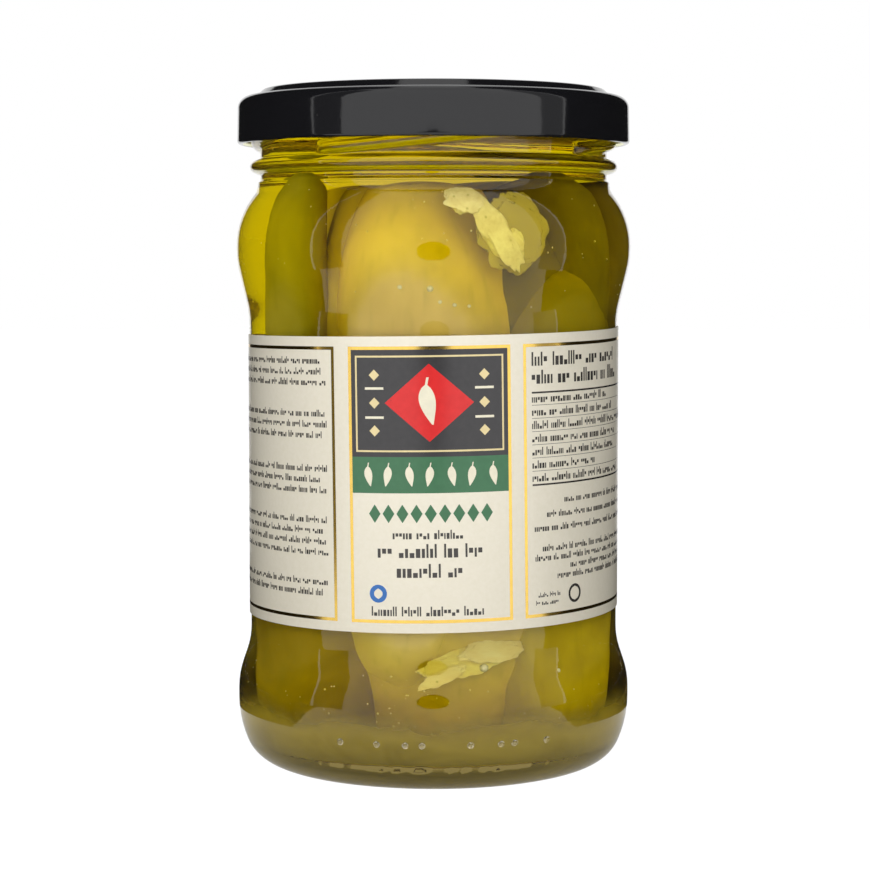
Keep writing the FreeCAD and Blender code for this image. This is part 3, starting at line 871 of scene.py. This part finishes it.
def make_cheese(material):
    """Cream cheese that squeezes out between the peppers."""
    specs = {
        "cheese_top": (spot(9.5, 29.9, 98.0), (3.1, 2.0, 2.3), (0, 15, 10)),
        "cheese_top_torn": (spot(19, 30.9, 93.0), (2.2, 1.2, 6.4), (0, -34, 19)),
        "cheese_top_crumb": (spot(25, 30.8, 91.0), (1.4, 1.0, 2.4), (0, -10, 25)),
        "cheese_low": (spot(11, 31.0, 21.8), (8.2, 1.6, 2.3), (0, -14, 11)),
        "cheese_low_right": (spot(19, 30.9, 23.4), (5.6, 1.5, 1.9), (0, -2, 19)),
        "cheese_low_tip": (spot(3, 30.9, 19.2), (4.2, 1.2, 1.1), (0, -24, 3)),
        "cheese_back": (spot(138, 29.5, 93.0), (5.0, 2.5, 6.0), (0, -24, 138)),
        "cheese_back_low": (spot(128, 30.0, 19.0), (6.5, 2.4, 3.6), (0, 20, 128)),
        "cheese_left_low": (spot(-135, 30.0, 20.0), (5.5, 2.3, 4.2), (0, -18, -135)),
    }
    # In each cheese the first colour is the painted shade of its hollows, the second that of its high
    # clumps.
    deep = cheese_material("cream_cheese_deep", (0.84, 0.63, 0.30), (0.98, 0.84, 0.58), 0.35)
    torn = flesh_material("torn_flesh", (0.52, 0.40, 0.16), (0.38, 0.29, 0.08), seed=0.7)
    pieces = [lump("torn_flesh", spot(25.5, 30.2, 93.0), (5.6, 1.2, 6.0), torn, (0, 12, 24), 1.7, seed=21)]
    for seed, (name, (centre, size, turn)) in enumerate(specs.items()):
        room = 0.6 + 0.2 * (seed % 4)      # neighbours differ, so that their pressed faces don't coincide
        tone = deep if "low" in name else material
        pieces.append(lump(name, centre, size, tone, turn, room, seed=seed + 3))
    return pieces


def make_crumbs(material):
    """Cheese crumbs that drift in the oil, most of them near the glass and the bottom, in one mesh."""
    rng = random.Random(5)
    work = bmesh.new()
    for _ in range(420):
        height = rng.uniform(6, 20) if rng.random() < 0.7 else rng.uniform(80, 108)
        limit = np.interp(height, WALL_HEIGHTS, WALL_RADII)
        centre = spot(rng.uniform(-180, 180), limit - rng.uniform(0.8, 3.0), height)
        centre = keep_inside(np.array([centre]), room=0.9)[0] * MM
        size = rng.uniform(0.07, 0.2) * MM
        stretch = [rng.uniform(0.7, 1.3), rng.uniform(0.7, 1.3), rng.uniform(0.7, 1.2), 1.0]
        at = Matrix.Translation(Vector(centre)) @ Matrix.Diagonal(stretch)
        bmesh.ops.create_icosphere(work, subdivisions=1, radius=size, matrix=at)
    return from_bmesh("crumbs", work, material)


def make_bubbles():
    """Small bubbles just inside the glass, as opaque pale balls: their pale colour is a painted highlight
    for the light that air in oil gives back.
    """
    material, output, add = new_material("bubble")
    surface(output, add("BsdfPrincipled", {"Base Color": (0.80, 0.72, 0.52, 1.0), "Roughness": 0.1}))
    spots = [(-10, 84.5, 0.5), (-1, 84.2, 0.6), (2, 82.0, 0.35), (6.5, 81.5, 0.35), (11, 81.3, 0.3),
             (16, 20.6, 0.75), (42, 19.0, 0.45), (170, 86.0, 0.6), (150, 84.0, 0.4), (-150, 18.0, 0.7)]
    return balls("bubbles", [(angle, np.interp(height, WALL_HEIGHTS, WALL_RADII) - 0.2 - size, height, size)
                             for angle, height, size in spots], material)


def cloud_material():
    """Fine cheese afloat: dense at the bottom and thinning out upwards, with a swirling edge."""
    material, output, add = new_material("settled_cloud")
    place = add("TexCoord").outputs["Object"]
    drift = add("TexNoise", {"Vector": place, "Scale": 90.0, "Detail": 3.0, "Distortion": 1.0})
    tone = ramp(add, drift.outputs["Fac"], [(0.35, (0.34, 0.25, 0.05)), (0.7, (0.44, 0.33, 0.09))])
    height = add("SeparateXYZ", {"Vector": place}).outputs["Z"]
    swirl = 3.0 * MM
    height = maths(add, "ADD", height, scaled(add, drift.outputs["Fac"], -swirl, swirl))
    dense = add("MapRange", {"Value": height, "From Min": (CLOUD_TOP - CLOUD_FADE) * MM,
                             "From Max": CLOUD_TOP * MM, "To Min": 1.0, "To Max": 0.0},
                interpolation_type="SMOOTHSTEP")
    surface(output, add("BsdfPrincipled", {
        "Base Color": tone, "Roughness": 0.8, "Alpha": dense.outputs["Result"], "IOR": WET}))
    return material


def make_cloud():
    """Fine cheese that has settled as a soft cloud at the bottom of the oil."""
    edge = BULGE - WALL - 0.2
    top = CLOUD_TOP + 2.0
    path = rounded([(0, FLOOR_INSIDE + 0.1, 0), (edge, FLOOR_INSIDE + 0.1, HEEL_INSIDE),
                    (np.interp(top, WALL_HEIGHTS, WALL_RADII) - 0.2, top, 1.0), (0, top, 0)])
    return lathe("cheese_cloud", finer(path, 2.0), cloud_material(), turn=96)


# Its first colour is the painted shade of its hollows.
cheese_skin = cheese_material("cream_cheese", (0.68, 0.52, 0.25), (0.95, 0.82, 0.58))
contents = make_peppers() + make_cheese(cheese_skin)
contents += [make_cloud(), make_crumbs(cheese_skin), make_bubbles()]

# ---------------- light, floor and camera

CAMERA_DISTANCE, CAMERA_HEIGHT, CAMERA_ASIDE = 427.5, 89.3, 0.28
CAMERA_PITCH = 4.244       # degrees that it looks down
SENSOR, LENS = 36.0, 99.8
TENT = 300.0               # the radius of the light tent round the jar
TENT_LOW = -17             # the elevation of its lower edge in degrees, seen from the camera's height
HOLE_RADIUS, HOLE_HEIGHT, HOLE_AWAY = 42.0, 74.0, TENT - 25
FLOOR_NEAR, FLOOR_CLEAR = 36.0, 100.0  # from the first distance to the second the floor's painted shadow fades and it gets lighter


def emitter(name, mirror, matt, inside=0.0, colour=(1.0, 1.0, 1.0)):
    """A glowing card: how bright it is in what shines, on what is matt, and on what lies behind glass."""
    material, output, add = new_material(name)
    ray = add("LightPath").outputs
    strength = maths(add, "ADD", scaled(add, ray["Is Glossy Ray"], matt, mirror),
                     scaled(add, ray["Is Transmission Ray"], 0.0, inside - matt))
    surface(output, add("Emission", {"Color": (*colour, 1.0), "Strength": strength}))
    return material


def tent_wall(name, start, end, high, material):
    """A stretch of the tent's wall between two angles from the front, up to an elevation.

    It leans in to a dome above. The camera doesn't see it, and it casts no shadow.
    """
    across = max(2, round((end - start) / 4))
    rise = max(1, round((high - TENT_LOW) / 6))
    points, faces = [], []
    for j in range(rise + 1):
        lean = math.radians(TENT_LOW + (high - TENT_LOW) * j / rise)
        for i in range(across + 1):
            points.append(spot(start + (end - start) * i / across, TENT * math.cos(lean),
                               CAMERA_HEIGHT + TENT * math.sin(lean)))
    for j in range(rise):
        for i in range(across):
            a = j * (across + 1) + i
            faces.append((a + across + 1, a + across + 2, a + 1, a))
    wall = from_points(name, points, faces, material, closed=False)
    wall.visible_camera = wall.visible_shadow = False
    return wall


def round_card(name, start, end, edges, material):
    """A card between two angles from the front: edges gives the reach and height of both its long edges."""
    steps = 24
    points = [spot(start + (end - start) * k / steps, reach, height)
              for reach, height in edges for k in range(steps + 1)]
    faces = [(k, k + 1, steps + 2 + k, steps + 1 + k) for k in range(steps)]
    card = from_points(name, points, faces, material, closed=False)
    return card


def make_world():
    """White where it is seen, and dim light on what is matt, brighter on what stands behind glass."""
    dim, behind_glass = 0.15, 1.6
    world = bpy.data.worlds.new("studio")
    bpy.context.scene.world = world
    world.use_nodes = True
    world.node_tree.nodes.clear()
    add = adder(world.node_tree)
    ray = add("LightPath").outputs
    seen = maths(add, "MAXIMUM", ray["Is Camera Ray"], ray["Is Transmission Ray"])
    seen = maths(add, "MAXIMUM", seen, ray["Is Glossy Ray"])
    lit = maths(add, "MULTIPLY", ray["Is Transmission Ray"], ray["Diffuse Depth"])
    lit = maths(add, "MINIMUM", lit, 1.0)
    strength = maths(add, "MULTIPLY_ADD", lit, behind_glass, scaled(add, seen, dim, 1.0))
    background = add("Background", {"Color": WHITE, "Strength": strength})
    surface(add("OutputWorld"), background)


def make_stage():
    """A white tent with dark cards at its sides and on the floor, as a photographer lights glass."""
    make_world()
    tent_wall("tent_front", -51, 25, 66, emitter("front_light", 1.25, 1.65, 3.0))
    tent_wall("tent_front_right", 25, 61, 66, emitter("front_right_light", 1.25, 0.9, 1.9))
    tent_wall("tent_left", -70, -51, 62, emitter("left_light", 0.12, 0.3, 2.0))
    tent_wall("tent_right", 61, 77, 62, emitter("right_light", 0.42, 0.2, 1.0))
    strip = emitter("strip_light", 1.6, 0.5, 1.5)
    tent_wall("strip_left", -71.5, -70, 60, strip)
    tent_wall("strip_right", 77, 78.5, 60, strip)
    black = emitter("black_card", 0.012, 0.0)
    for name, start, end in (("card_left", -155, -71.5), ("card_right", 78.5, 155)):
        card = tent_wall(name, start, end, 78, black)
        card.visible_diffuse = card.visible_transmission = False
    for name, start, end in (("floor_card_left", -175, -67), ("floor_card_right", 67, 175)):
        card = round_card(name, start, end, ((60, 0.5), (TENT, 0.5)), black)
        card.visible_camera = card.visible_diffuse = card.visible_transmission = card.visible_shadow = False
    # Behind the jar, it keeps the white from shining along the glass floor. It glows a dim olive and is
    # seen only through glass: a painted stand-in for the shade and oil-coloured light under the jar.
    olive = emitter("olive_card", 0.0, 0.0, 1.0, (0.23, 0.175, 0.045))
    low = round_card("low_card", 90, 270, ((36, 0.3), (54, 34)), olive)
    low.visible_camera = low.visible_diffuse = low.visible_glossy = low.visible_shadow = False
    make_hole(black)
    make_floor()


def make_hole(material):
    """The dark round hole in the tent that the camera looks through."""
    corners = 48
    ways = [2 * math.pi * k / corners for k in range(corners)]
    points = [(CAMERA_ASIDE + HOLE_RADIUS * math.cos(way), -HOLE_AWAY,
               HOLE_HEIGHT + HOLE_RADIUS * math.sin(way)) for way in ways]
    hole = from_points("camera_hole", points, [tuple(range(corners))], material, closed=False)
    hole.visible_camera = hole.visible_diffuse = hole.visible_shadow = hole.visible_transmission = False


def make_floor():
    """A plain pale floor with a soft shadow, nearly as white as the background where the camera sees it.

    Near the jar it is darker, a painted shadow: a dim olive where it is matt, dimmer in what shines, and
    not white where it is seen through glass.
    """
    material, output, add = new_material("pale_floor")
    ray = add("LightPath").outputs
    place = add("TexCoord").outputs["Object"]
    grain = add("TexNoise", {"Vector": place, "Scale": 700.0, "Detail": 2.0})
    away = add("VectorMath", {0: place}, operation="LENGTH").outputs["Value"]
    # Painted shadow: near the jar the matt colour is a dim olive, and the floor shows less white in what
    # shines and through glass.
    clear = add("MapRange", {"Value": away, "From Min": FLOOR_NEAR * MM, "From Max": FLOOR_CLEAR * MM})
    clear = clear.outputs["Result"]
    pale = ramp(add, grain.outputs["Fac"], [(0.3, (0.86, 0.86, 0.86)), (0.7, (0.9, 0.9, 0.9))])
    matt = add("BsdfDiffuse", {"Color": mixed(add, clear, (0.25, 0.22, 0.12), pale)})
    white = add("Emission", {"Color": WHITE, "Strength": 1.2})
    dimmest, whiteness = 0.45, 0.85
    mirrored = maths(add, "MULTIPLY", ray["Is Glossy Ray"], scaled(add, clear, dimmest, 1.0))
    through = maths(add, "MULTIPLY", ray["Is Transmission Ray"], clear)
    seen = maths(add, "MAXIMUM", ray["Is Camera Ray"], maths(add, "MAXIMUM", mirrored, through))
    share = maths(add, "MULTIPLY", seen, whiteness)
    surface(output, add("MixShader", {0: share, 1: matt.outputs[0], 2: white.outputs[0]}))
    size, below = 2500.0, -0.02           # a hair below the glass, so that the two faces don't coincide
    corners = [(-size, -size, below), (size, -size, below), (size, size, below), (-size, size, below)]
    floor = from_points("floor", corners, [(0, 1, 2, 3)], material, closed=False)


def make_camera():
    """A long lens, a little below the lid's height, that looks slightly down."""
    data = bpy.data.cameras.new("camera")
    data.sensor_width = SENSOR
    data.lens = LENS
    data.clip_start = 0.01
    camera = bpy.data.objects.new("camera", data)
    bpy.context.scene.collection.objects.link(camera)
    camera.location = (CAMERA_ASIDE * MM, -CAMERA_DISTANCE * MM, CAMERA_HEIGHT * MM)
    camera.rotation_euler = (math.radians(90 - CAMERA_PITCH), 0, 0)
    bpy.context.scene.camera = camera


def settle_render():
    """Plain colours, and enough bounces for light to get through glass, oil and glass again."""
    scene = bpy.context.scene
    scene.view_settings.view_transform = "Standard"
    scene.cycles.max_bounces = 24
    scene.cycles.transmission_bounces = 24
    scene.cycles.glossy_bounces = 8
    scene.cycles.diffuse_bounces = 4
    scene.cycles.transparent_max_bounces = 16
    scene.cycles.use_denoising = True


make_stage()
make_camera()
settle_render()

dressing = [(glass, "clear_glass", "jar"), (marks, "clear_glass", None), (oil, "pepper_oil", "oil"),
            (lid, "black_lacquer", "lid"), (label_pieces[0], "label_paper", "label")]
dressing += [(piece, "label_paper", None) for piece in label_pieces[1:]]
dressing += [(piece, "pepper_oil", None) for piece in contents]
for piece, slot, node in dressing:
    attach(piece, "root")
    if node:
        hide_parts(node)
